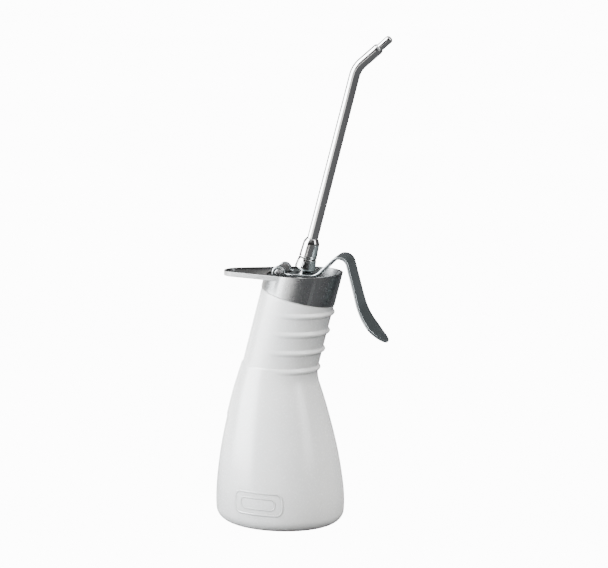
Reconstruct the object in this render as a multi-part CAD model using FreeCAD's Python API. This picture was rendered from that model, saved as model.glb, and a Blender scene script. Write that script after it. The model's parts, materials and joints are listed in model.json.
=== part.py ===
"""Hand-pumped oiler: a plastic bottle with a leaning neck, a cast pump head, a lever and a bent spout.

The origin is the centre of the ring that the bottle stands on, +Z is up, and +X points to the lever's side.
The object is symmetric about the plane y = 0. Lengths are in millimetres, angles in degrees.
The pump, the neck, the rod and the spout share one leaning line, the pump axis. Parts on it are modelled
about a local Z whose zero is where the line meets z = 0, and tilted() then puts them in place.
"""
import os

import FreeCAD
import Part
from math import atan, cos, degrees, radians, sin, tan

V = FreeCAD.Vector
Z = V(0, 0, 1)
Y = V(0, 1, 0)

# Pump axis: where it crosses z = 0, and how far it leans towards +X
AXIS_X = -22.1
LEAN = 12.7

# Bottle
WALL = 1.5
FLOOR = 2.6
BASE_ROUNDING = 6.5
# height, x of the centre and radius of the horizontal circles that the bottle's body passes through
BODY_RINGS = [
    (0, 0, 35.0), (10, -0.2, 35.6), (33, -1.2, 33.6), (55, -2.3, 29.2), (75, -3.3, 23.8), (88, -3.6, 19.2),
]
STAND_RECESS_R = 25.0
STAND_RECESS = 1.0
NECK_R = 20.5
NECK_START = 62.0
NECK_TOP = 129.5
FINISH_R = 17.9
MOUTH = 133.5
THREAD_R = 18.5
THREAD_S = 131.0
RIB_COUNT = 4
RIB_TOP_Z = 118.0
RIB_PITCH = 10.4
RIB_HEIGHT = 2.8
RIB_R = 20.9
RIB_SHIFT = 1.5
PANEL_W, PANEL_H, PANEL_Z, PANEL_TURN = 28.0, 12.0, 16.0, -7.5
PANEL_LINE, PANEL_RELIEF = 1.0, 0.3

# Pump head
HEAD_R = 20.8
HEAD_BOTTOM = 129.8
TOP_Z = 139.6
TOP_LEAN = -1.9
HORN_TIP_X = -26.4
HORN_TIP_R = 9.2
HORN_THICK = 2.6
RIM = 1.2
RECESS = 1.0
CEILING = 134.5
POCKET_FLOOR = 136.1
POCKET_R = 19.6
THREAD_BORE_R = 18.8
BOSS_R = 10.0
BOSS_BOTTOM = 125.5
WELL_R = 7.0
WELL_BOTTOM = 133.4
VENT_R = 0.8
VENT_AT_Y = 13.0

# Lever and its pin
PIN_X, PIN_Z, PIN_R = -3.1, 139.7, 2.0
PIN_HALF = 9.0
LUG_HALF = 4.4
LUG_R = 3.3
STRIP = 1.6
HOOK_R = 2.9
PLATE_Z = 138.8
# corners of the strip's middle line in the plane y = 0, each with its bend radius
LEVER_PATH = [
    (PIN_X - HOOK_R, 138.0, 0), (PIN_X - HOOK_R, PIN_Z + HOOK_R, HOOK_R),
    (PIN_X + HOOK_R, PIN_Z + HOOK_R, HOOK_R), (PIN_X + HOOK_R, PLATE_Z, 0.9),
    (17.8, PLATE_Z, 8), (32.9, 154.7, 5), (44.8, 114.0, 38), (57.6, 104.2, 0),
]
LEVER_HALF = 8.8
LEVER_WAIST = 9.6
LEVER_END_HALF = 11.5
LEVER_SLOT_HALF = 4.9

# Pump works, as distances along the pump axis
ROD_R, ROD_BORE_R = 3.0, 1.6
ROD_TOP = 156.0
CYL_R, CYL_BORE_R = 8.0, 7.0
CYL_BOTTOM, CYL_TOP = 98.0, 129.5
BUSH_R, BUSH_FLANGE_R = 5.0, 6.95
BUSH_BOTTOM, BUSH_SHOULDER = 127.9, 129.5
PISTON_R = 6.95
PISTON_BOTTOM, PISTON_TOP = 119.5, 126.0
ROD_SOCKET = 1.3
BALL_R, SEAT_R, BALL_BORE_R = 2.0, 1.4, 2.3
OUTLET_SEAT = 120.9
INLET_SEAT = 102.5
FOOT_TOP = 107.0
CAGE_TOP = 108.0
FOOT_BARB_BOTTOM = 88.0
TUBE_R, TUBE_BORE_R = 3.6, 2.6
TUBE_TOP, TUBE_BOTTOM = 97.0, 11.0
STRAINER_R, STRAINER_TOP, STRAINER_BOTTOM = 4.6, 17.0, 7.5
SPRING_R, WIRE_R, SPRING_TURNS = 5.2, 0.55, 5.0
THRUST_R, THRUST_DOME_R = 6.2, 7.0
THRUST_BOTTOM, THRUST_CROWN = 138.3, 140.97
SLEEVE_FOOT_R, SLEEVE_HEAD_R = 5.8, 5.0
SLEEVE_BOTTOM, SLEEVE_TOP = 145.5, 151.2

# Spout
FERRULE_R, FERRULE_BOTTOM = 4.95, 151.7
SHOULDER_R, SHOULDER, FERRULE_TOP = 4.5, 160.3, 162.6
PIPE_R, PIPE_BORE_R = 3.0, 2.45
PIPE_BEND_S, PIPE_BEND_R = 259.3, 14.0
TIP_LEAN = 47.0
PIPE_END = 16.4
NOSE_R, NOSE_LENGTH, NOSE_PLUG = 2.15, 8.8, 4.0
OUTLET_R = 0.6

RUN = 0.05  # radial clearance of a running fit
HAIR = 0.01  # gap that keeps two touching pieces apart


def tilted(shape):
    """Puts a shape modelled about the local Z onto the pump axis."""
    shape = shape.copy()
    shape.Placement = FreeCAD.Placement(V(AXIS_X, 0, 0), FreeCAD.Rotation(Y, LEAN))
    return shape


def axis_point(s):
    return V(AXIS_X + s * sin(radians(LEAN)), 0, s * cos(radians(LEAN)))


def topped(shape):
    """Puts a shape modelled about z = 0 onto the plane of the head's top, centred on the pump axis."""
    shape = shape.copy()
    shape.Placement = FreeCAD.Placement(axis_point(TOP_Z / cos(radians(LEAN))), FreeCAD.Rotation(Y, TOP_LEAN))
    return shape


def cylinder(r, low, high):
    return Part.makeCylinder(r, high - low, V(0, 0, low))


def ring(r_out, r_in, low, high):
    return cylinder(r_out, low, high).cut(cylinder(r_in, low - 1, high + 1))


def turned(points):
    """A solid of revolution about Z from (radius, height) corners."""
    wire = Part.makePolygon([V(r, 0, z) for r, z in points + points[:1]])
    return Part.Face(wire).revolve(V(0, 0, 0), Z, 360)


def edges_at(shape, low, high):
    """The shape's edges that lie between two heights."""
    return [e for e in shape.Edges if e.BoundBox.ZMin >= low and e.BoundBox.ZMax <= high]


def bent_path(corners):
    """A wire in the plane y = 0 through (x, z, radius) corners, each inner one rounded by its radius."""
    points = [V(x, 0, z) for x, z, _ in corners]
    edges = []
    last = points[0]
    for before, here, after, (_, _, radius) in zip(points, points[1:], points[2:], corners[1:]):
        back = (before - here).normalize()
        on = (after - here).normalize()
        half = back.getAngle(on) / 2
        start = here + back * (radius / tan(half))
        end = here + on * (radius / tan(half))
        middle = here + (back + on).normalize() * (radius / sin(half) - radius)
        if (start - last).Length > 1e-3:
            edges.append(Part.LineSegment(last, start).toShape())
        edges.append(Part.Arc(start, middle, end).toShape())
        last = end
    edges.append(Part.LineSegment(last, points[-1]).toShape())
    return Part.Wire(edges)


def swept(path, profile):
    return path.makePipeShell([profile], True, False)


def body_form(inset, bottom):
    """The bottle's body as a closed form, inset from the outside and cut off at a height."""
    rings = [
        Part.Wire(Part.makeCircle(r - inset, V(x, 0, z), Z)) for z, x, r in BODY_RINGS
    ]
    form = Part.makeLoft(rings, True, False)
    form = form.cut(Part.makeBox(100, 100, bottom + 10, V(-50, -50, -10))) if bottom > 0 else form
    return form.makeFillet(BASE_ROUNDING - inset, edges_at(form, bottom - 0.01, bottom + 0.01))


def grip_ribs():
    """Level ridges round the neck that stand out on the lever's side and fade towards the horn's side."""
    ribs = []
    for i in range(RIB_COUNT):
        z = RIB_TOP_Z - i * RIB_PITCH
        x = AXIS_X + z * tan(radians(LEAN)) + RIB_SHIFT
        rib = Part.makeCylinder(RIB_R, RIB_HEIGHT, V(x, 0, z - RIB_HEIGHT / 2))
        ribs.append(rib.makeFillet(RIB_HEIGHT * 0.45, [e for e in rib.Edges if len(e.Vertexes) == 1]))
    return ribs


def maker_panel():
    """A plain raised frame low on the front of the bottle."""

    def plate(w, h):
        box = Part.makeBox(w, 60, h, V(-w / 2, -60, PANEL_Z - h / 2))
        return box.makeFillet(h * 0.3, [e for e in box.Edges if abs(e.tangentAt(e.FirstParameter).y) > 0.9])

    frame = plate(PANEL_W, PANEL_H).cut(plate(PANEL_W - 2 * PANEL_LINE, PANEL_H - 2 * PANEL_LINE))
    frame = frame.common(body_form(-PANEL_RELIEF, 0))
    frame.rotate(V(0, 0, 0), Z, PANEL_TURN)
    return frame.cut(body_form(0.4, 0))


def bottle():
    outer_body = body_form(0, 0)
    outer_neck = tilted(cylinder(NECK_R, NECK_START, NECK_TOP))
    outer = outer_body.fuse(outer_neck)
    outer = outer.fuse(grip_ribs())
    finish = cylinder(FINISH_R, NECK_TOP - 1, MOUTH)
    finish = finish.fuse(turned([
        (FINISH_R - 0.5, THREAD_S - 1.0), (THREAD_R, THREAD_S - 0.3), (THREAD_R, THREAD_S + 0.3),
        (FINISH_R - 0.5, THREAD_S + 1.0),
    ]))
    outer = outer.fuse(tilted(finish)).fuse(maker_panel())
    inner_neck = cylinder(NECK_R - WALL, NECK_START, NECK_TOP - WALL)
    inner_neck = inner_neck.fuse(cylinder(FINISH_R - WALL, NECK_TOP - WALL - 1, MOUTH + 5))
    inner = body_form(WALL, FLOOR).fuse(tilted(inner_neck))
    shell = outer.cut(inner)
    recess = Part.makeCone(STAND_RECESS_R, STAND_RECESS_R - 2, STAND_RECESS, V(0, 0, 0))
    return shell.cut(recess)


def horn_plan(inset, low, high):
    """The head's outline from above: the collar, and the horn that runs back from it to a round tip."""
    collar = HEAD_R - inset
    tip = HORN_TIP_R - inset
    gap = axis_point(TOP_Z / cos(radians(LEAN))).x - HORN_TIP_X
    slope = (collar - tip) / gap
    away = (1 - slope * slope) ** 0.5
    corners = [
        V(-collar * slope, collar * away, low), V(-gap - tip * slope, tip * away, low),
        V(-gap - tip * slope, -tip * away, low), V(-collar * slope, -collar * away, low),
    ]
    edges = [
        Part.LineSegment(corners[0], corners[1]).toShape(),
        Part.Arc(corners[1], V(-gap - tip, 0, low), corners[2]).toShape(),
        Part.LineSegment(corners[2], corners[3]).toShape(),
        Part.LineSegment(corners[3], corners[0]).toShape(),
    ]
    return Part.Face(Part.Wire(edges)).extrude(V(0, 0, high - low))


def pump_head():
    collar = tilted(cylinder(HEAD_R, HEAD_BOTTOM, HEAD_BOTTOM + 30))
    collar = collar.cut(topped(Part.makeBox(120, 120, 60, V(-60, -60, 0))))
    head = collar.fuse(topped(horn_plan(0, -HORN_THICK, 0))).removeSplitter()
    head = head.cut(topped(horn_plan(RIM, -RECESS, 1)))
    pocket = tilted(cylinder(POCKET_R, POCKET_FLOOR, POCKET_FLOOR + 30))
    head = head.cut(pocket)
    head = head.cut(tilted(cylinder(THREAD_BORE_R, HEAD_BOTTOM - 1, CEILING)))
    head = head.fuse(tilted(cylinder(BOSS_R, BOSS_BOTTOM, CEILING + 0.5)))
    head = head.fuse(pin_lug())
    head = head.cut(tilted(cylinder(WELL_R, WELL_BOTTOM, WELL_BOTTOM + 20)))
    head = head.cut(tilted(cylinder(BUSH_R, BUSH_SHOULDER - 1, WELL_BOTTOM + 1)))
    head = head.cut(tilted(cylinder(CYL_R, BOSS_BOTTOM - 1, CYL_TOP)))
    vent = cylinder(VENT_R, CEILING - 1, POCKET_FLOOR + 1)
    vent.translate(V(0, VENT_AT_Y, 0))
    return head.cut(tilted(vent))


def pin_lug():
    """The block between the lever's two hooks that carries the pin."""
    foot = PIN_Z - LUG_R - 1.2
    block = Part.makeBox(2 * LUG_R, 2 * LUG_HALF, PIN_Z - foot, V(PIN_X - LUG_R, -LUG_HALF, foot))
    block = block.fuse(Part.makeCylinder(LUG_R, 2 * LUG_HALF, V(PIN_X, -LUG_HALF, PIN_Z), Y))
    return block.cut(Part.makeCylinder(PIN_R, 4 * LUG_HALF, V(PIN_X, -2 * LUG_HALF, PIN_Z), Y))


def hinge_pin():
    pin = Part.makeCylinder(PIN_R, 2 * PIN_HALF, V(PIN_X, -PIN_HALF, PIN_Z), Y)
    return pin.makeChamfer(0.4, [e for e in pin.Edges if len(e.Vertexes) == 1])


def lever():
    path = bent_path(LEVER_PATH)
    x, z, _ = LEVER_PATH[0]
    half = STRIP / 2
    widest = LEVER_END_HALF + 1
    section = Part.makePolygon([
        V(x - half, -widest, z), V(x + half, -widest, z), V(x + half, widest, z),
        V(x - half, widest, z), V(x - half, -widest, z),
    ])
    strip = swept(path, section)
    apex_x = 33.0
    plan = Part.Face(Part.makePolygon([
        V(-20, -LEVER_HALF, 0), V(1, -LEVER_HALF, 0), V(5, -LEVER_WAIST, 0), V(apex_x, -LEVER_WAIST, 0),
        V(apex_x, LEVER_WAIST, 0), V(5, LEVER_WAIST, 0), V(1, LEVER_HALF, 0), V(-20, LEVER_HALF, 0),
        V(-20, -LEVER_HALF, 0),
    ])).extrude(V(0, 0, 300))
    front = lever_front().extrude(V(100, 0, 0))
    front.translate(V(apex_x, 0, 0))
    strip = strip.common(plan.fuse(front))
    slot = Part.makeBox(14.5, 2 * LEVER_SLOT_HALF, 20, V(PIN_X - 9, -LEVER_SLOT_HALF, PLATE_Z - 8))
    strip = strip.cut(slot)
    return strip.cut(rod_hole())


def lever_front():
    """The handle's outline seen along X: waisted, then wider, with a round end."""
    end_z = LEVER_PATH[-1][1] + 1.0
    heights = [(LEVER_WAIST, 170), (LEVER_WAIST, 140), (LEVER_WAIST + 0.5, 128), (LEVER_END_HALF, 112)]
    side = [V(0, y, z) for y, z in heights]
    other = [V(0, -p.y, p.z) for p in side]

    def curve(points):
        spline = Part.BSplineCurve()
        spline.interpolate(points)
        return spline.toShape()

    edges = [
        Part.LineSegment(side[0], side[1]).toShape(),
        curve(side[1:]),
        Part.Arc(side[-1], V(0, 0, end_z - 1), other[-1]).toShape(),
        curve(other[:0:-1]),
        Part.LineSegment(other[1], other[0]).toShape(),
        Part.LineSegment(other[0], side[0]).toShape(),
    ]
    return Part.Face(Part.Wire(edges))


def rod_hole():
    """The slot in the lever's plate that the leaning rod passes, long enough for the whole stroke."""
    r = ROD_R + 0.7
    low, high = PLATE_Z - 3, PLATE_Z + 3
    x = AXIS_X + PLATE_Z * tan(radians(LEAN))
    ends = [Part.makeCylinder(r, high - low, V(x + shift, 0, low)) for shift in (-1.0, 0.9)]
    middle = Part.makeBox(1.9, 2 * r, high - low, V(x - 1.0, -r, low))
    return ends[0].fuse([ends[1], middle])


def pump_cylinder():
    return tilted(ring(CYL_R, CYL_BORE_R, CYL_BOTTOM + 2, CYL_TOP))


def guide_bush():
    return tilted(turned([
        (ROD_R + RUN, BUSH_BOTTOM), (BUSH_FLANGE_R, BUSH_BOTTOM), (BUSH_FLANGE_R, BUSH_SHOULDER),
        (BUSH_R, BUSH_SHOULDER), (BUSH_R, WELL_BOTTOM + 0.6), (ROD_R + RUN, WELL_BOTTOM + 0.6),
    ]))


def rod_seal():
    return tilted(ring(BUSH_FLANGE_R, ROD_R + RUN, PISTON_TOP + 0.3, BUSH_BOTTOM))


def neck_gasket():
    return tilted(ring(THREAD_BORE_R, BOSS_R + 4.5, MOUTH, CEILING))


def foot_valve():
    """The plug that closes the cylinder, with the inlet ball's seat and a barb for the suction tube."""
    return tilted(turned([
        (SEAT_R, FOOT_BARB_BOTTOM), (TUBE_BORE_R - 0.4, FOOT_BARB_BOTTOM),
        (TUBE_BORE_R, FOOT_BARB_BOTTOM + 2), (TUBE_BORE_R, TUBE_TOP), (CYL_R, TUBE_TOP),
        (CYL_R, CYL_BOTTOM + 2), (CYL_BORE_R, CYL_BOTTOM + 2),
        (CYL_BORE_R, FOOT_TOP), (BALL_BORE_R, FOOT_TOP), (BALL_BORE_R, INLET_SEAT), (SEAT_R, INLET_SEAT),
    ]))


def valve_cage():
    """The perforated disc that keeps the inlet ball in and carries the return spring."""
    disc = cylinder(CYL_BORE_R - RUN, FOOT_TOP, CAGE_TOP)
    for i in range(4):
        hole = cylinder(0.8, FOOT_TOP - 1, CAGE_TOP + 1)
        hole.translate(V(1.9, 0, 0))
        hole.rotate(V(0, 0, 0), Z, 90 * i + 45)
        disc = disc.cut(hole)
    return tilted(disc)


def suction_tube():
    return tilted(ring(TUBE_R, TUBE_BORE_R, TUBE_BOTTOM, TUBE_TOP))


def strainer():
    """A slotted cap on the suction tube's foot."""
    cap = cylinder(STRAINER_R, STRAINER_BOTTOM, STRAINER_TOP)
    cap = cap.cut(cylinder(TUBE_R, TUBE_BOTTOM, STRAINER_TOP + 1))
    cap = cap.cut(cylinder(TUBE_BORE_R, STRAINER_BOTTOM + 1, TUBE_BOTTOM + 1))
    for i in range(3):
        slot = Part.makeBox(4 * STRAINER_R, 0.8, 1.6, V(-2 * STRAINER_R, -0.4, STRAINER_BOTTOM + 1.3))
        slot.rotate(V(0, 0, 0), Z, 60 * i)
        cap = cap.cut(slot)
    return tilted(cap)


def return_spring():
    low, high = CAGE_TOP + WIRE_R + HAIR, PISTON_BOTTOM - WIRE_R - HAIR
    helix = Part.makeHelix((high - low) / SPRING_TURNS, high - low, SPRING_R)
    helix.translate(V(0, 0, low))
    wire = Part.Wire(Part.makeCircle(WIRE_R, V(SPRING_R, 0, low), Y))
    return tilted(Part.Wire(helix).makePipeShell([wire], True, True))


def piston_rod():
    """The hollow rod: its foot is in the piston and its head in the spout's ferrule."""
    return tilted(ring(ROD_R, ROD_BORE_R, PISTON_TOP - ROD_SOCKET, ROD_TOP))


def piston():
    """A grooved piston with the outlet ball's chamber and seat."""
    groove_low, groove_high = OUTLET_SEAT + 0.8, OUTLET_SEAT + 2.6
    groove_r = PISTON_R - 1.5
    return tilted(turned([
        (SEAT_R, PISTON_BOTTOM), (PISTON_R, PISTON_BOTTOM), (PISTON_R, groove_low), (groove_r, groove_low),
        (groove_r, groove_high), (PISTON_R, groove_high), (PISTON_R, PISTON_TOP), (ROD_R, PISTON_TOP),
        (ROD_R, PISTON_TOP - ROD_SOCKET), (ROD_BORE_R + 1.0, PISTON_TOP - ROD_SOCKET),
        (ROD_BORE_R + 1.0, OUTLET_SEAT), (SEAT_R, OUTLET_SEAT),
    ]))


def piston_seal():
    return tilted(ring(CYL_BORE_R - 0.02, PISTON_R - 1.5, OUTLET_SEAT + 0.9, OUTLET_SEAT + 2.5))


def ball(seat):
    """A valve ball at rest on the rim of its seat."""
    height = seat + (BALL_R ** 2 - SEAT_R ** 2) ** 0.5 + HAIR
    return tilted(Part.makeSphere(BALL_R, V(0, 0, height)))


def thrust_collar():
    """The domed collar on the rod that the lever's plate presses down."""
    dome = Part.makeSphere(THRUST_DOME_R, V(0, 0, THRUST_CROWN - THRUST_DOME_R))
    body = dome.common(cylinder(THRUST_R, THRUST_BOTTOM, THRUST_CROWN))
    return tilted(body.cut(cylinder(ROD_R, THRUST_BOTTOM - 1, THRUST_CROWN + 1)))


def knurled_sleeve():
    """The tapered sleeve on the rod that the spout is screwed down against, round at its foot and knurled."""
    height = SLEEVE_TOP - SLEEVE_BOTTOM
    taper = SLEEVE_FOOT_R - SLEEVE_HEAD_R
    sleeve = turned([
        (ROD_R, SLEEVE_BOTTOM - 1.4), (SLEEVE_FOOT_R - 1.8, SLEEVE_BOTTOM - 1.4),
        (SLEEVE_FOOT_R - 0.6, SLEEVE_BOTTOM - 0.7), (SLEEVE_FOOT_R, SLEEVE_BOTTOM + 0.4),
        (SLEEVE_HEAD_R, SLEEVE_TOP - 0.3), (SLEEVE_HEAD_R - 0.3, SLEEVE_TOP), (ROD_R, SLEEVE_TOP),
    ])
    count = 36
    nicks = []
    for i in range(count):
        nick = Part.makeBox(0.35, 0.35, height - 1.8, V(-0.175, -0.175, 0))
        nick.rotate(V(0, 0, 0), Z, 45)
        nick.rotate(V(0, 0, 0), Y, -degrees(atan(taper / height)))
        nick.translate(V(SLEEVE_FOOT_R - taper * 0.9 / height, 0, SLEEVE_BOTTOM + 0.9))
        nick.rotate(V(0, 0, 0), Z, 360 * i / count)
        nicks.append(nick)
    return tilted(sleeve.cut(nicks))


def spout_gasket():
    return tilted(ring(FERRULE_R - 0.35, ROD_R + RUN, SLEEVE_TOP + HAIR, FERRULE_BOTTOM - HAIR))


def spout_ferrule():
    """The nut that joins the spout's pipe to the rod, with a rounded shoulder."""
    seat = ROD_TOP + 0.6
    ferrule = turned([
        (ROD_R + RUN, FERRULE_BOTTOM), (FERRULE_R, FERRULE_BOTTOM), (SHOULDER_R, SHOULDER),
        (PIPE_R + 0.3, FERRULE_TOP), (PIPE_R, FERRULE_TOP), (PIPE_R, seat + 1.0),
        (PIPE_BORE_R, seat + 1.0), (PIPE_BORE_R, seat), (ROD_R + RUN, seat),
    ])
    rim = edges_at(ferrule, SHOULDER - 0.01, SHOULDER + 0.01)
    return tilted(ferrule.makeFillet(0.8, rim))


def pipe_corners():
    """The spout's middle line: up the pump axis, a bend, and the short length that leads to the nose."""
    start, bend = axis_point(ROD_TOP + 1.6 + HAIR), axis_point(PIPE_BEND_S)
    end = bend + V(sin(radians(TIP_LEAN)), 0, cos(radians(TIP_LEAN))) * PIPE_END
    return [(start.x, start.z, 0), (bend.x, bend.z, PIPE_BEND_R), (end.x, end.z, 0)]


def round_section(path, radius):
    start = path.Edges[0]
    point = start.valueAt(start.FirstParameter)
    return Part.Wire(Part.makeCircle(radius, point, start.tangentAt(start.FirstParameter)))


def spout_tube():
    path = bent_path(pipe_corners())
    return swept(path, round_section(path, PIPE_R)).cut(swept(path, round_section(path, PIPE_BORE_R)))


def spout_nose():
    """The rounded nozzle in the pipe's end, with the outlet through it."""
    x, z, _ = pipe_corners()[-1]
    nose = cylinder(NOSE_R, 0, NOSE_LENGTH)
    nose = nose.makeFillet(NOSE_R - 0.5, edges_at(nose, NOSE_LENGTH - 0.01, NOSE_LENGTH + 0.01))
    nose = nose.fuse(cylinder(PIPE_BORE_R, -NOSE_PLUG, 0.0)).removeSplitter()
    nose = nose.cut(cylinder(OUTLET_R, -NOSE_PLUG - 1, NOSE_LENGTH + 1))
    nose.Placement = FreeCAD.Placement(V(x, 0, z), FreeCAD.Rotation(Y, TIP_LEAN))
    return nose


PARTS = {
    "bottle": bottle,
    "pump_head": pump_head,
    "neck_gasket": neck_gasket,
    "pump_cylinder": pump_cylinder,
    "guide_bush": guide_bush,
    "rod_seal": rod_seal,
    "foot_valve": foot_valve,
    "valve_cage": valve_cage,
    "suction_tube": suction_tube,
    "strainer": strainer,
    "return_spring": return_spring,
    "hinge_pin": hinge_pin,
    "lever": lever,
    "piston_rod": piston_rod,
    "thrust_collar": thrust_collar,
    "piston": piston,
    "piston_seal": piston_seal,
    "knurled_sleeve": knurled_sleeve,
    "spout_gasket": spout_gasket,
    "spout_ferrule": spout_ferrule,
    "spout_tube": spout_tube,
    "spout_nose": spout_nose,
    "inlet_ball": lambda: ball(INLET_SEAT),
    "outlet_ball": lambda: ball(OUTLET_SEAT),
}

os.makedirs("parts", exist_ok=True)
for name, make in PARTS.items():
    shape = make()
    box = shape.BoundBox
    print(f"{name:16s} solids {len(shape.Solids)} valid {shape.isValid()} volume {shape.Volume:9.1f} mm3 "
          f"z {box.ZMin:6.1f} to {box.ZMax:6.1f} x {box.XMin:6.1f} to {box.XMax:6.1f}")
    shape.exportStep(f"parts/{name}.step")
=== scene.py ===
"""Pump oiler in a plain studio. The making code works in millimetres, and MM turns them into metres."""
import json
import math

import bmesh
import bpy
from mathutils import Matrix, Vector


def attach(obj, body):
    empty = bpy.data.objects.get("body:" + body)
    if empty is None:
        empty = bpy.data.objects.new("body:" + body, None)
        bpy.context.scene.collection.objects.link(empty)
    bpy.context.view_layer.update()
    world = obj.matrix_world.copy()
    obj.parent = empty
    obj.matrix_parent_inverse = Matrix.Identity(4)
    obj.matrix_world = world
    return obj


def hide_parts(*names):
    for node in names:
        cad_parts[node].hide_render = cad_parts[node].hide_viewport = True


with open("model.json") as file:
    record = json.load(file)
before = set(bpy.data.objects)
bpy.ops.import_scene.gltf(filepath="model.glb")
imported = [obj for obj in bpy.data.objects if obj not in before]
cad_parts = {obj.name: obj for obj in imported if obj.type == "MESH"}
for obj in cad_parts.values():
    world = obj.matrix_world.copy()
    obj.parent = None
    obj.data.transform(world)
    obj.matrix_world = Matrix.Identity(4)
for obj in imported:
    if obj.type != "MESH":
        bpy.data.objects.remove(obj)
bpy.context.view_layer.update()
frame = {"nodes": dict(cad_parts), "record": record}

NODES = frame["nodes"]
MM = 0.001

# The part's own dimensions
AXIS_X, LEAN = -22.1, math.radians(12.7)
NECK_R, NECK_TOP, MOUTH, FINISH_R = 20.5, 129.5, 133.5, 17.9
WALL, FLOOR, ROUNDING = 1.5, 2.6, 6.5
# height, centre x and radius of the bottle's body
BODY = [
    (0, 0, 35.0), (10, -0.2, 35.6), (33, -1.2, 33.6), (55, -2.3, 29.2), (75, -3.3, 23.8), (88, -3.6, 19.2),
]
RIB_ZS = [118.0 - 10.4 * i for i in range(4)]
RIB_R, RIB_SHIFT, RIB_HALF = 20.9, 1.5, 1.9
PANEL_Z, PANEL_TURN, PANEL_R = 16.0, -97.5, 35.4
SLEEVE_BOTTOM, SLEEVE_TOP, SLEEVE_FOOT_R, SLEEVE_HEAD_R = 145.5, 151.2, 5.8, 5.0
FERRULE_BOTTOM, SHOULDER, FERRULE_TOP, FERRULE_R, SHOULDER_R = 151.7, 160.3, 162.6, 4.95, 4.5
PIPE_R, PIPE_BORE_R, PIPE_FOOT, PIPE_BEND, PIPE_BEND_R = 3.0, 2.45, 157.61, 259.3, 14.0
TIP_LEAN, TIP_RUN = math.radians(47.0), 16.4
NOSE_R, NOSE_LENGTH, NOSE_PLUG = 2.15, 8.8, 4.0
PIN_X, PIN_Z, HOOK_R, PLATE_Z, STRIP = -3.1, 139.7, 2.9, 138.8, 1.6
# corners of the strip's middle line in the plane y = 0, each with its bend radius
LEVER_PATH = [
    (PIN_X - HOOK_R, 138.0, 0), (PIN_X - HOOK_R, PIN_Z + HOOK_R, HOOK_R),
    (PIN_X + HOOK_R, PIN_Z + HOOK_R, HOOK_R), (PIN_X + HOOK_R, PLATE_Z, 0.9),
    (17.8, PLATE_Z, 8), (32.9, 154.7, 5), (44.8, 114.0, 38), (57.6, 104.2, 0),
]


def collection_link(obj):
    bpy.context.scene.collection.objects.link(obj)
    return obj


def mesh_object(name, verts, faces, material, smooth=True):
    mesh = bpy.data.meshes.new(name)
    mesh.from_pydata([(x * MM, y * MM, z * MM) for x, y, z in verts], [], faces)
    mesh.update()
    obj = collection_link(bpy.data.objects.new(name, mesh))
    mesh.materials.append(material)
    for p in mesh.polygons:
        p.use_smooth = smooth
    return obj


def face_outward(obj):
    bm = bmesh.new()
    bm.from_mesh(obj.data)
    bmesh.ops.recalc_face_normals(bm, faces=bm.faces)
    bm.to_mesh(obj.data)
    bm.free()


def between(rows, count, closed):
    """Quads between rows of count points each; closed joins the last row to the first."""
    faces = []
    for i in range(rows if closed else rows - 1):
        m = (i + 1) % rows
        for j in range(count):
            k = (j + 1) % count
            faces.append((i * count + j, i * count + k, m * count + k, m * count + j))
    return faces


# ---------------------------------------------------------------- materials


class Nodes:
    """A short way to write a node tree."""

    def __init__(self, tree):
        self.tree = tree
        tree.nodes.clear()

    def add(self, kind, inputs=None, **settings):
        node = self.tree.nodes.new(kind)
        for key, value in settings.items():
            setattr(node, key, value)
        for key, value in (inputs or {}).items():
            if isinstance(value, bpy.types.NodeSocket):
                self.tree.links.new(value, node.inputs[key])
            else:
                node.inputs[key].default_value = value
        return node

    def noise(self, scale, detail=3.0, vector=None, roughness=0.5, distortion=0.0):
        inputs = {"Scale": scale, "Detail": detail, "Roughness": roughness, "Distortion": distortion}
        inputs["Vector"] = vector if vector else self.position()
        return self.add("ShaderNodeTexNoise", inputs).outputs["Fac"]

    def position(self):
        return self.add("ShaderNodeTexCoord").outputs["Object"]

    def stretched(self, x, y, z):
        inputs = {"Vector": self.position(), "Scale": (x, y, z)}
        return self.add("ShaderNodeMapping", inputs).outputs["Vector"]

    def ramp(self, value, stops):
        node = self.add("ShaderNodeValToRGB", {"Fac": value})
        ramp = node.color_ramp
        while len(ramp.elements) < len(stops):
            ramp.elements.new(0.5)
        for element, (at, colour) in zip(ramp.elements, stops):
            element.position = at
            element.color = (*colour, 1)
        return node.outputs["Color"]

    def span(self, value, low, high, new_low, new_high):
        inputs = {0: value, 1: low, 2: high, 3: new_low, 4: new_high}
        return self.add("ShaderNodeMapRange", inputs).outputs[0]

    def bump(self, height, strength, distance, normal=None):
        inputs = {"Height": height, "Strength": strength, "Distance": distance}
        if normal:
            inputs["Normal"] = normal
        return self.add("ShaderNodeBump", inputs).outputs["Normal"]

    def mix(self, factor, a, b):
        node = self.add("ShaderNodeMix", data_type="RGBA")
        for index, value in ((0, factor), (6, a), (7, b)):
            if isinstance(value, bpy.types.NodeSocket):
                self.tree.links.new(value, node.inputs[index])
            else:
                node.inputs[index].default_value = value
        return node.outputs[2]

    def finish(self, **inputs):
        shader = self.add("ShaderNodeBsdfPrincipled", {k.replace("_", " "): v for k, v in inputs.items()})
        self.add("ShaderNodeOutputMaterial", {"Surface": shader.outputs["BSDF"]})


def new_material(name):
    material = bpy.data.materials.new(name)
    material.use_nodes = True
    return material, Nodes(material.node_tree)


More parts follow.
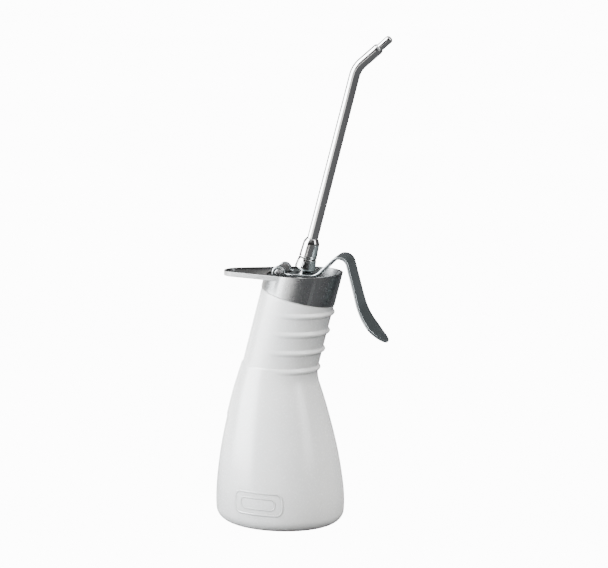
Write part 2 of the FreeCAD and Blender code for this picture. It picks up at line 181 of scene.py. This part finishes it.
def milky_polyethylene():
    """Blow-moulded natural polyethylene: milky, with an uneven wall, faint draw lines and a soft gloss."""
    material, n = new_material("milky_polyethylene")
    wall = n.noise(26, 2, roughness=0.4, distortion=0.4)
    draw = n.noise(1.0, 3, vector=n.stretched(160, 160, 7))
    tone = n.ramp(wall, [(0.3, (0.76, 0.775, 0.78)), (0.7, (0.82, 0.825, 0.815))])
    tone = n.mix(n.span(draw, 0.35, 0.65, 0.0, 0.14), tone, (0.68, 0.69, 0.68, 1))
    skin = n.noise(1100, 2)
    normal = n.bump(skin, 0.10, 0.0001, n.bump(draw, 0.12, 0.0004, n.bump(wall, 0.14, 0.0012)))
    n.finish(
        Base_Color=tone, Roughness=n.span(skin, 0.3, 0.7, 0.20, 0.30), Normal=normal, IOR=1.53,
        Specular_IOR_Level=0.85, Subsurface_Weight=0.55, Subsurface_Radius=(1.0, 0.97, 0.92),
        Subsurface_Scale=0.007,
    )
    return material


def metal(name, dark, light, roughness, grain_scale, grain, streak=None, edge_highlight=None):
    """A metal with uneven tone and a grain, which streak draws out into lines; the last argument is a lighter
    tone painted on sharp edges, a painted highlight.
    """
    material, n = new_material(name)
    patch = n.noise(18.0, 4, roughness=0.6, distortion=0.6)
    fine = n.noise(grain_scale, 3, vector=n.stretched(*streak) if streak else None)
    tone = n.ramp(patch, [(0.3, dark), (0.72, light)])
    tone = n.mix(n.span(fine, 0.3, 0.7, 0.0, 0.35), tone, (*[c * 0.72 for c in dark], 1))
    # painted highlight: sharp edges, found by pointiness, are painted a lighter tone
    if edge_highlight:
        edge = n.add("ShaderNodeNewGeometry").outputs["Pointiness"]
        tone = n.mix(n.span(edge, 0.51, 0.56, 0.0, 0.8), tone, (*edge_highlight, 1))
    rough = n.span(fine, 0.25, 0.75, roughness[0], roughness[1])
    normal = n.bump(fine, grain[0], grain[1], n.bump(patch, 0.08, 0.0006))
    n.finish(Base_Color=tone, Metallic=1.0, Roughness=rough, Normal=normal)
    return material


def plain(name, dark, light, roughness, bump=0.15):
    material, n = new_material(name)
    patch = n.noise(60, 3)
    fine = n.noise(700, 3)
    n.finish(
        Base_Color=n.ramp(patch, [(0.3, dark), (0.7, light)]), Roughness=n.span(fine, 0.3, 0.7, *roughness),
        Normal=n.bump(fine, bump, 0.0002),
    )
    return material


MAT = {
    "milky_polyethylene": milky_polyethylene(),
    "die_cast_zinc": metal(
        "die_cast_zinc", (0.15, 0.154, 0.156), (0.22, 0.226, 0.23), (0.24, 0.38), 900, (0.30, 0.00012),
        edge_highlight=(0.5, 0.5, 0.5)),
    "plated_steel": metal(
        "plated_steel", (0.26, 0.31, 0.325), (0.36, 0.415, 0.43), (0.16, 0.28), 40, (0.10, 0.0001),
        streak=(5, 40, 5), edge_highlight=(0.8, 0.81, 0.82)),
    "bright_nickel": metal(
        "bright_nickel", (0.50, 0.495, 0.49), (0.62, 0.61, 0.60), (0.08, 0.18), 60, (0.06, 0.00008),
        streak=(12, 12, 1)),
    "brass": metal("brass", (0.62, 0.45, 0.18), (0.76, 0.60, 0.30), (0.2, 0.35), 300, (0.1, 0.0001)),
    "spring_steel": metal(
        "spring_steel", (0.34, 0.34, 0.35), (0.50, 0.51, 0.52), (0.2, 0.36), 300, (0.1, 0.0001)),
    "black_rubber": plain("black_rubber", (0.02, 0.02, 0.02), (0.04, 0.04, 0.04), (0.6, 0.8), 0.3),
    "natural_plastic": plain("natural_plastic", (0.74, 0.73, 0.70), (0.82, 0.81, 0.78), (0.35, 0.5)),
}


# ---------------------------------------------------------------- bottle


def body_at(z):
    """Centre x and radius of the bottle's body at a height, on a smooth curve through BODY."""
    z = min(max(z, BODY[0][0]), BODY[-1][0])
    i = max(k for k in range(len(BODY) - 1) if BODY[k][0] <= z)
    (z0, *a), (z1, *b) = BODY[i], BODY[i + 1]
    t = (z - z0) / (z1 - z0)

    def slope(k, j):
        if k == 0 or k == len(BODY) - 1:
            m, n = (0, 1) if k == 0 else (k - 1, k)
            return (BODY[n][j] - BODY[m][j]) / (BODY[n][0] - BODY[m][0])
        left = (BODY[k][j] - BODY[k - 1][j]) / (BODY[k][0] - BODY[k - 1][0])
        right = (BODY[k + 1][j] - BODY[k][j]) / (BODY[k + 1][0] - BODY[k][0])
        wide, narrow = BODY[k][0] - BODY[k - 1][0], BODY[k + 1][0] - BODY[k][0]
        return (left * narrow + right * wide) / (wide + narrow)

    out = []
    for j, (p, q) in enumerate(zip(a, b), start=1):
        m0, m1 = slope(i, j) * (z1 - z0), slope(i + 1, j) * (z1 - z0)
        out.append(
            (2 * t ** 3 - 3 * t ** 2 + 1) * p + (t ** 3 - 2 * t ** 2 + t) * m0
            + (3 * t ** 2 - 2 * t ** 3) * q + (t ** 3 - t ** 2) * m1
        )
    return out


def ray(angle, shift, a, b):
    """How far from the origin a ray leaves an ellipse with half-axes a, b whose centre is shifted along x."""
    c, s = math.cos(angle), math.sin(angle)
    p = (c / a) ** 2 + (s / b) ** 2
    q = -2 * c * shift / a ** 2
    r = (shift / a) ** 2 - 1
    return (-q + math.sqrt(max(q * q - 4 * p * r, 0))) / (2 * p)


def smooth_max(a, b, width):
    h = max(width - abs(a - b), 0) / width
    return max(a, b) + h * h * width / 4


def neck_x(z):
    return AXIS_X + z * math.tan(LEAN)


def centre_x(z):
    """The middle that each row of the bottle's mesh is drawn round."""
    t = min(max((z - 60) / 28, 0), 1)
    return (1 - t) * body_at(z)[0] + t * neck_x(z)


def bottle_radius(angle, z, inset=0.0, ribs=True):
    """Distance from centre_x to the bottle's surface at a height, moved in by inset."""
    mid = centre_x(z)
    radius = 0.0
    if z <= BODY[-1][0]:
        x, r = body_at(z)
        low = FLOOR if inset else 0.0
        corner = ROUNDING - inset
        if z - low < corner:
            r -= corner - math.sqrt(max(corner ** 2 - (corner - (z - low)) ** 2, 0))
        radius = ray(angle, x - mid, r - inset, r - inset)
    if z > 58:
        neck = ray(angle, neck_x(z) - mid, (NECK_R - inset) / math.cos(LEAN), NECK_R - inset)
        radius = smooth_max(radius, neck, 3.4) if radius else neck
    if ribs:
        for at in RIB_ZS:
            off = abs(z - at)
            if off < RIB_HALF:
                relief = ray(angle, neck_x(at) + RIB_SHIFT - mid, RIB_R, RIB_R) - radius
                relief = (relief + math.sqrt(relief * relief + 0.01)) / 2
                radius += relief * math.cos(math.pi * off / RIB_HALF / 2) ** 1.4
    return radius


def on_bottle(angle, z, lift=0.0):
    r = bottle_radius(angle, z) + lift
    return centre_x(z) + r * math.cos(angle), r * math.sin(angle), z


def tilted(rho, angle, s):
    """A point at a radius and angle round the pump axis, s along it."""
    u, w = rho * math.cos(angle), rho * math.sin(angle)
    return (
        AXIS_X + s * math.sin(LEAN) + u * math.cos(LEAN), w, s * math.cos(LEAN) - u * math.sin(LEAN),
    )


def steps(low, high, pitch):
    count = max(int(round((high - low) / pitch)), 1)
    return [low + (high - low) * i / count for i in range(count)]


def make_bottle():
    angles = [2 * math.pi * i / 240 for i in range(240)]
    for side in (0, math.pi):
        for off in (0.25, 0.5, 0.9):
            angles += [side + math.radians(off), side - math.radians(off)]
    angles = sorted(a % (2 * math.pi) for a in angles)
    rows = []

    def seam(angle):
        """Height of the mould's parting line, which runs up both sides in the plane y = 0."""
        off = min(abs(math.sin(angle / 2)), abs(math.cos(angle / 2))) * 2
        return 0.13 * math.exp(-((off / 0.0085) ** 2))

    def flat(radius, z):
        rows.append([(radius * math.cos(a), radius * math.sin(a), z) for a in angles])

    for radius in (4.0, 12.0, 21.0, 22.6):
        flat(radius, 1.0)
    flat(23.4, 0.9)
    flat(24.6, 0.1)
    flat(25.2, 0.0)
    flat(28.0, 0.0)
    heights = [ROUNDING * (1 - math.cos(i * math.pi / 20)) for i in range(1, 10)]
    heights += steps(ROUNDING, 62, 1.6) + steps(62, 84, 0.8) + steps(84, 120.01, 0.3)
    for z in heights:
        row = []
        for a in angles:
            lift = seam(a) * min(z / 12, 1)
            row.append(on_bottle(a, z, lift))
        rows.append(row)
    base = rows[-1]
    for t in (0.12, 0.3, 0.5, 0.7, 0.85, 0.95, 1.0):
        row = []
        for a, start in zip(angles, base):
            end = tilted(NECK_R - (0.35 if t == 1.0 else 0.08 if t == 0.95 else 0), a, NECK_TOP)
            row.append(tuple(p + (q - p) * t for p, q in zip(start, end)))
        rows.append(row)
    shoulder = [(19.0, 129.55), (18.2, 129.6), (17.95, 129.8), (FINISH_R, 130.1)]
    bead = [(18.2, 130.5), (18.45, 130.75), (18.5, 131.0), (18.45, 131.25), (18.2, 131.5)]
    lip = [(FINISH_R, 131.9), (FINISH_R, 132.8), (17.75, 133.3), (17.4, MOUTH), (16.8, MOUTH), (16.45, 133.2)]
    bore = [(16.4, 132.5), (16.4, 129.0), (16.8, 128.4), (18.2, 128.1), (18.8, 127.7), (19.0, 127.0)]
    for rho, s in shoulder + bead + lip + bore:
        rows.append([tilted(rho, a, s) for a in angles])
    inner = steps(FLOOR + 5, 118, 3.0)[::-1]
    inner += [FLOOR + 5 * (1 - math.sin(i * math.pi / 12)) for i in range(1, 6)]
    for z in inner:
        row = []
        for a in angles:
            r = bottle_radius(a, z, WALL, ribs=False)
            row.append((centre_x(z) + r * math.cos(a), r * math.sin(a), z))
        rows.append(row)
    flat(20.0, FLOOR)
    flat(5.0, FLOOR)

    count = len(angles)
    verts = [p for row in rows for p in row]
    faces = between(len(rows), count, closed=False)
    faces.append(tuple(range(count))[::-1])
    faces.append(tuple(range((len(rows) - 1) * count, len(rows) * count)))
    obj = mesh_object("bottle_shell", verts, faces, MAT["milky_polyethylene"])
    face_outward(obj)
    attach(obj, "bottle")
    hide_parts("bottle")


def raised_line(name, width, height, corner, line, relief):
    """A raised frame on the bottle's front: a round-cornered outline followed by a low rounded ridge."""
    mid_angle = math.radians(PANEL_TURN)
    path = []
    for cx, cz, start in (
        (width / 2 - corner, height / 2 - corner, 0), (-width / 2 + corner, height / 2 - corner, 90),
        (-width / 2 + corner, -height / 2 + corner, 180), (width / 2 - corner, -height / 2 + corner, 270),
    ):
        for i in range(9):
            a = math.radians(start + 90 * i / 8)
            path.append((cx + corner * math.cos(a), cz + corner * math.sin(a), a))
    dense = []
    for (x0, z0, a0), (x1, z1, a1) in zip(path, path[1:] + path[:1]):
        n = max(int(math.hypot(x1 - x0, z1 - z0) / 0.8), 1)
        if a1 < a0:
            a1 += 2 * math.pi
        for i in range(n):
            t = i / n
            dense.append((x0 + (x1 - x0) * t, z0 + (z1 - z0) * t, a0 + (a1 - a0) * t))
    verts, faces = [], []
    section = 7
    for x, z, a in dense:
        for j in range(section):
            q = math.pi * j / (section - 1)
            off = math.cos(q) * line / 2
            lift = math.sin(q) * relief * 1.25 - 0.25 * relief
            u, v = x + off * math.cos(a), z + off * math.sin(a)
            verts.append(on_bottle(mid_angle + u / PANEL_R, PANEL_Z + v, lift))
        verts.append(on_bottle(mid_angle + x / PANEL_R, PANEL_Z + z, -0.5))
    size, total = section + 1, len(dense)
    for i in range(total):
        k = (i + 1) % total
        for j in range(size):
            m = (j + 1) % size
            faces.append((i * size + j, k * size + j, k * size + m, i * size + m))
    obj = mesh_object(name, verts, faces, MAT["milky_polyethylene"])
    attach(obj, "bottle")


make_bottle()
raised_line("panel_frame", 28, 12, 3.6, 1.2, 0.26)
raised_line("panel_inner_frame", 20, 6.0, 2.6, 0.9, 0.18)


# ---------------------------------------------------------------- turned pieces and the pipe


def lathe(name, profile, body, node, slot, place, count=72, groove=None):
    """A closed turned piece from (radius, height) corners; groove gives how deep each point is cut."""
    verts = []
    for rho, h in profile:
        for j in range(count):
            a = 2 * math.pi * j / count
            verts.append(place(rho - (groove(h, rho, j) if groove else 0), a, h))
    obj = mesh_object(name, verts, between(len(profile), count, closed=True), MAT[slot])
    face_outward(obj)
    obj.data.set_sharp_from_angle(angle=math.radians(48))
    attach(obj, body)
    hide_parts(node)


def rounded(points, radius):
    """The corners of a closed profile, each rounded by up to radius."""
    around = 4
    out = []
    for before, here, after in zip(points[-1:] + points[:-1], points, points[1:] + points[:1]):
        p, q, r = Vector(before), Vector(here), Vector(after)
        back, on = p - q, r - q
        cut = min(radius, back.length * 0.4, on.length * 0.4)
        a, b = q + back.normalized() * cut, q + on.normalized() * cut
        for i in range(around + 1):
            t = i / around
            out.append(tuple(a * (1 - t) ** 2 + q * (2 * t * (1 - t)) + b * t ** 2))
    return out


def make_rod_pieces():
    nickel = "bright_nickel"
    rod = rounded([(3.0, 124.7), (3.0, 156.0), (1.6, 156.0), (1.6, 124.7)], 0.2)
    lathe("rod", rod, "plunger", "piston_rod", nickel, tilted, 48)
    dome = [(math.sqrt(49 - (7 - h) ** 2), 140.97 - h) for h in (0.7, 0.9, 1.2, 1.6, 2.0, 2.4)]
    dome = [(3.0, 138.3), (3.0, 140.27)] + dome + [(6.2, 138.5), (6.0, 138.3)]
    lathe("thrust_dome", dome, "plunger", "thrust_collar", nickel, tilted, 64)
    low, high, foot, head = SLEEVE_BOTTOM, SLEEVE_TOP, SLEEVE_FOOT_R, SLEEVE_HEAD_R

    def taper(h):
        return foot - (foot - head) * (h - low - 0.4) / (high - low - 0.7)

    skirt = [(3.02, low - 1.4), (3.9, low - 1.4), (4.6, low - 1.2), (5.15, low - 0.75), (5.55, low - 0.2)]
    skirt += [(5.74, low + 0.15), (foot, low + 0.45), (taper(low + 0.9), low + 0.9)]
    knurled = [(taper(low + 1.1 + 0.4 * i) - 0.03, low + 1.1 + 0.4 * i) for i in range(9)]
    top = [(taper(high - 0.9), high - 0.9), (head, high - 0.35), (head - 0.1, high - 0.1), (head - 0.3, high)]
    top += [(3.02, high)]

    def knurl(h, rho, j):
        if rho < head or h < low + 1.0 or h > high - 1.0:
            return 0
        return 0.10 if j % 4 == 0 else 0.04 if j % 4 in (1, 3) else 0

    lathe("sleeve", skirt + knurled + top, "plunger", "knurled_sleeve", nickel, tilted, 160, knurl)


def make_spout():
    nickel = "bright_nickel"
    low, bend_at, high, wide, narrow = FERRULE_BOTTOM, SHOULDER, FERRULE_TOP, FERRULE_R, SHOULDER_R
    outer = [(3.05, low), (wide - 0.3, low), (wide - 0.1, low + 0.08), (wide, low + 0.3)]
    outer += [(wide - 0.04, low + 1.0), (wide - 0.13, low + 1.08), (wide - 0.13, low + 1.25)]
    outer += [(wide - 0.05, low + 1.33)]
    outer += [(narrow + 0.05, bend_at - 1.0), (narrow + 0.01, bend_at - 0.45), (narrow - 0.1, bend_at + 0.1)]
    outer += [(narrow - 0.32, bend_at + 0.6), (3.55, high - 0.5), (3.38, high - 0.2), (3.2, high - 0.03)]
    outer += [(3.06, high - 0.06), (3.02, high - 0.3), (3.01, 157.6)]
    outer += [(PIPE_BORE_R, 157.6), (PIPE_BORE_R, 156.6), (3.05, 156.6)]
    lathe("ferrule", outer, "spout", "spout_ferrule", nickel, tilted, 84)

    start, bend = Vector(tilted(0, 0, PIPE_FOOT)), Vector(tilted(0, 0, PIPE_BEND))
    first = (bend - start).normalized()
    second = Vector((math.sin(TIP_LEAN), 0, math.cos(TIP_LEAN)))
    half = math.pi / 2 - first.angle(second) / 2
    reach = PIPE_BEND_R / math.tan(half)
    a, b = bend - first * reach, bend + second * reach
    centre = bend + (second - first).normalized() * PIPE_BEND_R / math.sin(half)
    line = [start.lerp(a, i / 30) for i in range(30)]
    turn = first.angle(second)
    for i in range(17):
        t = turn * i / 16
        out = (a - centre) * math.cos(t) + first * PIPE_BEND_R * math.sin(t)
        line.append(centre + out)
    end = bend + second * TIP_RUN
    line += [b.lerp(end, i / 6) for i in range(1, 6)]
    line += [end - second * 0.35, end - second * 0.1, end]
    count = 48
    verts = []

    def ring(centre_point, along, radius):
        side = Vector((0, 1, 0))
        up = along.cross(side).normalized()
        for j in range(count):
            q = 2 * math.pi * j / count
            verts.append(tuple(centre_point + side * radius * math.cos(q) + up * radius * math.sin(q)))

    for i, p in enumerate(line):
        along = (line[min(i + 1, len(line) - 1)] - line[max(i - 1, 0)]).normalized()
        radius = {len(line) - 2: 2.92, len(line) - 1: 2.65}.get(i, PIPE_R)
        ring(p, along, radius)
    ring(end - second * 0.02, second, 2.58)
    inner = line[:-3] + [end - second * 0.3]
    for i, p in reversed(list(enumerate(inner))):
        ring(p, (inner[min(i + 1, len(inner) - 1)] - inner[max(i - 1, 0)]).normalized(), PIPE_BORE_R)
    obj = mesh_object("spout_pipe", verts, between(len(verts) // count, count, closed=True), MAT[nickel])
    face_outward(obj)
    obj.data.set_sharp_from_angle(angle=math.radians(60))
    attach(obj, "spout")
    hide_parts("spout_tube")

    across = Vector((math.cos(TIP_LEAN), 0, -math.sin(TIP_LEAN)))

    def at_tip(rho, angle, h):
        u, w = rho * math.cos(angle), rho * math.sin(angle)
        return tuple(end + second * h + across * u + Vector((0, 1, 0)) * w)

    length, r, plug = NOSE_LENGTH, NOSE_R, PIPE_BORE_R - 0.02
    nose = [(0.6, -NOSE_PLUG), (plug, -NOSE_PLUG), (plug, -0.05), (2.6, 0.02), (2.62, 0.35), (2.4, 0.6)]
    nose += [(r, 0.75), (r, length - 1.7)]
    nose += [(r - 1.65 + 1.65 * math.cos(q), length - 1.65 + 1.65 * math.sin(q))
             for q in (math.radians(90 * i / 8) for i in range(1, 9))]
    nose += [(0.62, length - 0.02), (0.6, length - 0.3)]
    lathe("nose", nose, "spout", "spout_nose", nickel, at_tip, 48)


make_rod_pieces()
make_spout()


# ---------------------------------------------------------------- lever


class BentLine:
    """The strip's middle line as straights and arcs, walked by length."""

    def __init__(self, corners):
        self.parts = []
        self.length = 0.0
        points = [Vector((x, z)) for x, z, _ in corners]
        last = points[0]
        for before, here, after, (_, _, radius) in zip(points, points[1:], points[2:], corners[1:]):
            back, on = (before - here).normalized(), (after - here).normalized()
            half = back.angle(on) / 2
            start = here + back * (radius / math.tan(half))
            self.put(last, -back, (start - last).length, 0.0)
            side = 1 if back.x * on.y - back.y * on.x < 0 else -1
            turn = math.pi - 2 * half
            self.put(start, -back, radius * turn, side / radius)
            last = here + on * (radius / math.tan(half))
        self.put(last, on, (points[-1] - last).length, 0.0)

    def put(self, start, along, length, bend):
        self.parts.append((self.length, start, along, length, bend))
        self.length += length

    def at(self, s):
        """The point at a length along the line, and the line's left-hand normal there."""
        at, start, along, length, bend = [p for p in self.parts if p[0] <= s + 1e-9][-1]
        run = s - at
        left = Vector((-along.y, along.x))
        if bend:
            a = run * bend
            point = start + along * (math.sin(a) / bend) + left * ((1 - math.cos(a)) / bend)
            return point, left * math.cos(a) - along * math.sin(a)
        return start + along * run, left

    def stations(self):
        """Lengths to cut a blank at so that it bends smoothly."""
        out = []
        for at, _, _, length, bend in self.parts:
            count = max(int(math.degrees(abs(length * bend)) / 5), 1) if bend else 1
            out += [at + length * i / count for i in range(count)]
        return out[1:]


def lever_half(z):
    """Half the lever's width by height: 9.6 to 11.5 on a curve, then an arc at the finger end."""
    if z > 140:
        return 9.6
    if z > 112:
        # the parabola through 9.6, 10.1 and 11.5 at heights 140, 128 and 112
        a, b, c = (z - 128) * (z - 112), (z - 140) * (z - 112), (z - 140) * (z - 128)
        return 9.6 * a / 336 + 10.1 * b / -192 + 11.5 * c / 448
    return math.sqrt(max(12.38 ** 2 - (z - 116.58) ** 2, 0))


def make_lever():
    """A flat blank with rounded edges, a notch between the hooks and a slot for the rod, bent to shape."""
    line = BentLine(LEVER_PATH)
    plate = line.parts[6][0] - line.parts[6][1].x
    side = [(0.0, 8.2), (0.2, 8.6), (0.6, 8.8), (plate + 1, 8.8), (plate + 3, 9.15), (plate + 5, 9.6)]
    drop = line.parts[-2][0] - 20
    count = 90
    for i in range(count + 1):
        q = i / count
        s = drop + (line.length - drop) * (1 - (1 - q) ** 2)
        z = line.at(min(s, line.length - 1e-6))[0].y
        side.append((s, lever_half(max(z, 104.2))))
    side[-1] = (line.length, 0.0)
    notch = [(plate + 1.8, 4.9), (plate + 2.2, 4.75), (plate + 2.4, 4.3)]
    hook = [(0.0, 5.4), (0.15, 5.05), (0.5, 4.9)]
    outer = side + [(s, -y) for s, y in side[-2::-1]] + [(s, -y) for s, y in hook]
    outer += [(s, -y) for s, y in notch] + notch[::-1] + hook[::-1]
    rod = plate + AXIS_X + PLATE_Z * math.tan(LEAN)
    hole = []
    for shift, start in ((0.9, -90), (-1.0, 90)):
        for i in range(17):
            a = math.radians(start + 180 * i / 16)
            hole.append((rod + shift + 3.7 * math.cos(a), 3.7 * math.sin(a)))
    curve = bpy.data.curves.new("lever_blank", "CURVE")
    curve.dimensions = "2D"
    curve.fill_mode = "BOTH"
    curve.bevel_depth = 0.5
    curve.bevel_resolution = 2
    curve.extrude = STRIP / 2 - 0.5
    curve.offset = -0.5
    for points in (outer, hole):
        spline = curve.splines.new("POLY")
        spline.points.add(len(points) - 1)
        for point, (s, y) in zip(spline.points, points):
            point.co = (s, y, 0, 1)
        spline.use_cyclic_u = True
    blank = collection_link(bpy.data.objects.new("lever_blank", curve))
    bpy.context.view_layer.update()
    mesh = bpy.data.meshes.new_from_object(blank.evaluated_get(bpy.context.evaluated_depsgraph_get()))
    bpy.data.objects.remove(blank)
    bm = bmesh.new()
    bm.from_mesh(mesh)
    bmesh.ops.remove_doubles(bm, verts=bm.verts, dist=1e-4)
    for s in line.stations():
        everything = bm.verts[:] + bm.edges[:] + bm.faces[:]
        bmesh.ops.bisect_plane(bm, geom=everything, plane_co=(s, 0, 0), plane_no=(1, 0, 0), dist=1e-5)
    for v in bm.verts:
        point, left = line.at(min(max(v.co.x, 0.0), line.length))
        place = point + left * v.co.z
        v.co = (place.x * MM, v.co.y * MM, place.y * MM)
    bmesh.ops.recalc_face_normals(bm, faces=bm.faces)
    bm.to_mesh(mesh)
    bm.free()
    mesh.name = "lever_strip"
    obj = collection_link(bpy.data.objects.new("lever_strip", mesh))
    mesh.materials.clear()
    mesh.materials.append(MAT["plated_steel"])
    for p in mesh.polygons:
        p.use_smooth = True
        p.material_index = 0
    mesh.set_sharp_from_angle(angle=math.radians(50))
    even = obj.modifiers.new("even", "WEIGHTED_NORMAL")
    even.weight = 50
    even.keep_sharp = True
    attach(obj, "lever")
    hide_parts("lever")


make_lever()


# ---------------------------------------------------------------- metal pieces, from the CAD nodes


def dress(node, width):
    """Gives a CAD node its material and smooth shading; a width also rounds its edges with a modifier."""
    obj = NODES[node]
    slot = next(s["material_slot"] for s in frame["record"]["subparts"] if s["node"] == node)
    obj.data.materials.clear()
    obj.data.materials.append(MAT[slot])
    for p in obj.data.polygons:
        p.use_smooth = True
        p.material_index = 0
    weld = obj.modifiers.new("weld", "WELD")
    weld.merge_threshold = 2e-6
    if width:
        flat = obj.modifiers.new("flat", "DECIMATE")
        flat.decimate_type = "DISSOLVE"
        flat.angle_limit = math.radians(0.6)
        bevel = obj.modifiers.new("edge", "BEVEL")
        bevel.width = width * MM
        bevel.segments = 2
        bevel.limit_method = "ANGLE"
        bevel.angle_limit = math.radians(35)
    even = obj.modifiers.new("even", "WEIGHTED_NORMAL")
    even.mode = "FACE_AREA_WITH_ANGLE"
    even.keep_sharp = False


EDGES = {"pump_head": 0.5, "hinge_pin": 0.12}
REPLACED = (
    "bottle", "lever", "piston_rod", "thrust_collar", "knurled_sleeve", "spout_ferrule", "spout_tube",
    "spout_nose",
)
for name in NODES:
    if name not in REPLACED:
        dress(name, EDGES.get(name, 0.0))


# ---------------------------------------------------------------- studio


def area_light(name, where, aim, size, power, colour):
    data = bpy.data.lights.new(name, "AREA")
    data.shape = "RECTANGLE"
    data.size, data.size_y = size
    data.energy = power
    data.color = colour
    obj = collection_link(bpy.data.objects.new(name, data))
    obj.location = where
    obj.rotation_mode = "QUATERNION"
    obj.rotation_quaternion = (Vector(aim) - Vector(where)).to_track_quat("-Z", "Y")
    return obj


def studio():
    """A pale floor and a soft white surround; the metal mirrors a wide panel on the left and little else."""
    material, n = new_material("pale_floor")
    tone = n.ramp(n.noise(3, 2), [(0.3, (0.90, 0.9, 0.9)), (0.7, (0.93, 0.93, 0.93))])
    pale = n.add("ShaderNodeEmission", {"Color": tone, "Strength": 14.0})
    place = n.add("ShaderNodeSeparateXYZ", {"Vector": n.position()})
    # painted shade: to every ray but the camera's the floor is a diffuse table painted dark to the right of x
    # = -0.1 m, so the metal mirrors darkness on its right and less light bounces up there
    rightward = n.span(place.outputs["X"], -0.42, -0.1, 0.0, 1.0)
    dimmed = n.ramp(rightward, [(0.0, (0.80, 0.80, 0.80)), (1.0, (0.045, 0.047, 0.05))])
    table = n.add("ShaderNodeBsdfDiffuse", {"Color": dimmed})
    seen = n.add("ShaderNodeLightPath").outputs["Is Camera Ray"]
    both = n.add("ShaderNodeMixShader", {0: seen, 1: table.outputs[0], 2: pale.outputs[0]})
    n.add("ShaderNodeOutputMaterial", {"Surface": both.outputs[0]})
    corners = [(-4000, -4000, 0), (4000, -4000, 0), (4000, 4000, 0), (-4000, 4000, 0)]
    floor = mesh_object("floor", corners, [(0, 1, 2, 3)], material, smooth=False)

    world = bpy.data.worlds.new("studio")
    bpy.context.scene.world = world
    world.use_nodes = True
    n = Nodes(world.node_tree)

    def math_node(operation, a, b=0.0):
        return n.add("ShaderNodeMath", {0: a, 1: b}, operation=operation).outputs[0]

    direction = n.add("ShaderNodeTexCoord").outputs["Generated"]
    parts = n.add("ShaderNodeSeparateXYZ", {"Vector": direction})
    x, y, z = (parts.outputs[k] for k in "XYZ")
    round_about = math_node("ARCTAN2", x, math_node("MULTIPLY", y, -1.0))

    def panel(at, half, soft, low, high):
        """1 inside a span of compass directions and heights, 0 outside, with soft edges."""
        off = math_node("ABSOLUTE", math_node("SUBTRACT", round_about, math.radians(at)))
        wide = n.span(off, math.radians(half), math.radians(half + soft), 1.0, 0.0)
        under = n.span(z, low - 0.1, low, 0.0, 1.0)
        over = n.span(z, high, high + 0.15, 1.0, 0.0)
        return math_node("MULTIPLY", wide, math_node("MULTIPLY", under, over))

    left = math_node("MULTIPLY", panel(-67, 20, 8, -0.1, 0.75), 26.0)
    right = math_node("MULTIPLY", panel(75, 6, 6, 0.2, 0.8), 8.0)
    top = math_node("MULTIPLY", n.span(z, 0.6, 0.9, 0.0, 1.0), 1.1)
    behind = n.span(y, 0.0, 0.5, 0.03, 0.14)
    lights = math_node("ADD", math_node("ADD", left, right), math_node("ADD", top, behind))
    mirrored = n.add("ShaderNodeBackground", {"Color": (0.96, 0.985, 1.0, 1), "Strength": lights})
    white = n.add("ShaderNodeBackground", {"Color": (0.97, 0.97, 0.97, 1), "Strength": 13.2})
    above = n.span(z, 0.0, 1.0, 0.05, 6.6)
    fill = n.add("ShaderNodeBackground", {"Color": (1.0, 0.985, 0.96, 1), "Strength": above})
    path = n.add("ShaderNodeLightPath")
    glossy, seen = path.outputs["Is Glossy Ray"], path.outputs["Is Camera Ray"]
    room = n.add("ShaderNodeMixShader", {0: glossy, 1: fill.outputs[0], 2: mirrored.outputs[0]})
    mixed = n.add("ShaderNodeMixShader", {0: seen, 1: room.outputs[0], 2: white.outputs[0]})
    n.add("ShaderNodeOutputWorld", {"Surface": mixed.outputs[0]})

    key = area_light("key", (-1.05, -0.75, 0.55), (0, 0, 0.12), (0.8, 1.2), 52, (0.95, 0.98, 1.0))
    key.visible_glossy = False


def camera():
    azimuth, elevation, roll = math.radians(12.64), math.radians(9.95), math.radians(1.73)
    distance, across = 1.6, 0.334
    level = math.cos(elevation)
    back = Vector((math.sin(azimuth) * level, -math.cos(azimuth) * level, math.sin(elevation)))
    right = Vector((math.cos(azimuth), math.sin(azimuth), 0))
    up = back.cross(right)
    aim = Vector((0, 0, 0.12)) + right * 0.00934 + up * 0.0124
    data = bpy.data.cameras.new("camera")
    data.sensor_width = 36
    data.lens = 36 * distance / across
    data.clip_end = 20
    obj = collection_link(bpy.data.objects.new("camera", data))
    x = right * math.cos(roll) + up * math.sin(roll)
    y = up * math.cos(roll) - right * math.sin(roll)
    turn = Matrix((x, y, back)).transposed()
    obj.matrix_world = Matrix.Translation(aim + back * distance) @ turn.to_4x4()
    bpy.context.scene.camera = obj


studio()
camera()

bpy.context.view_layer.update()
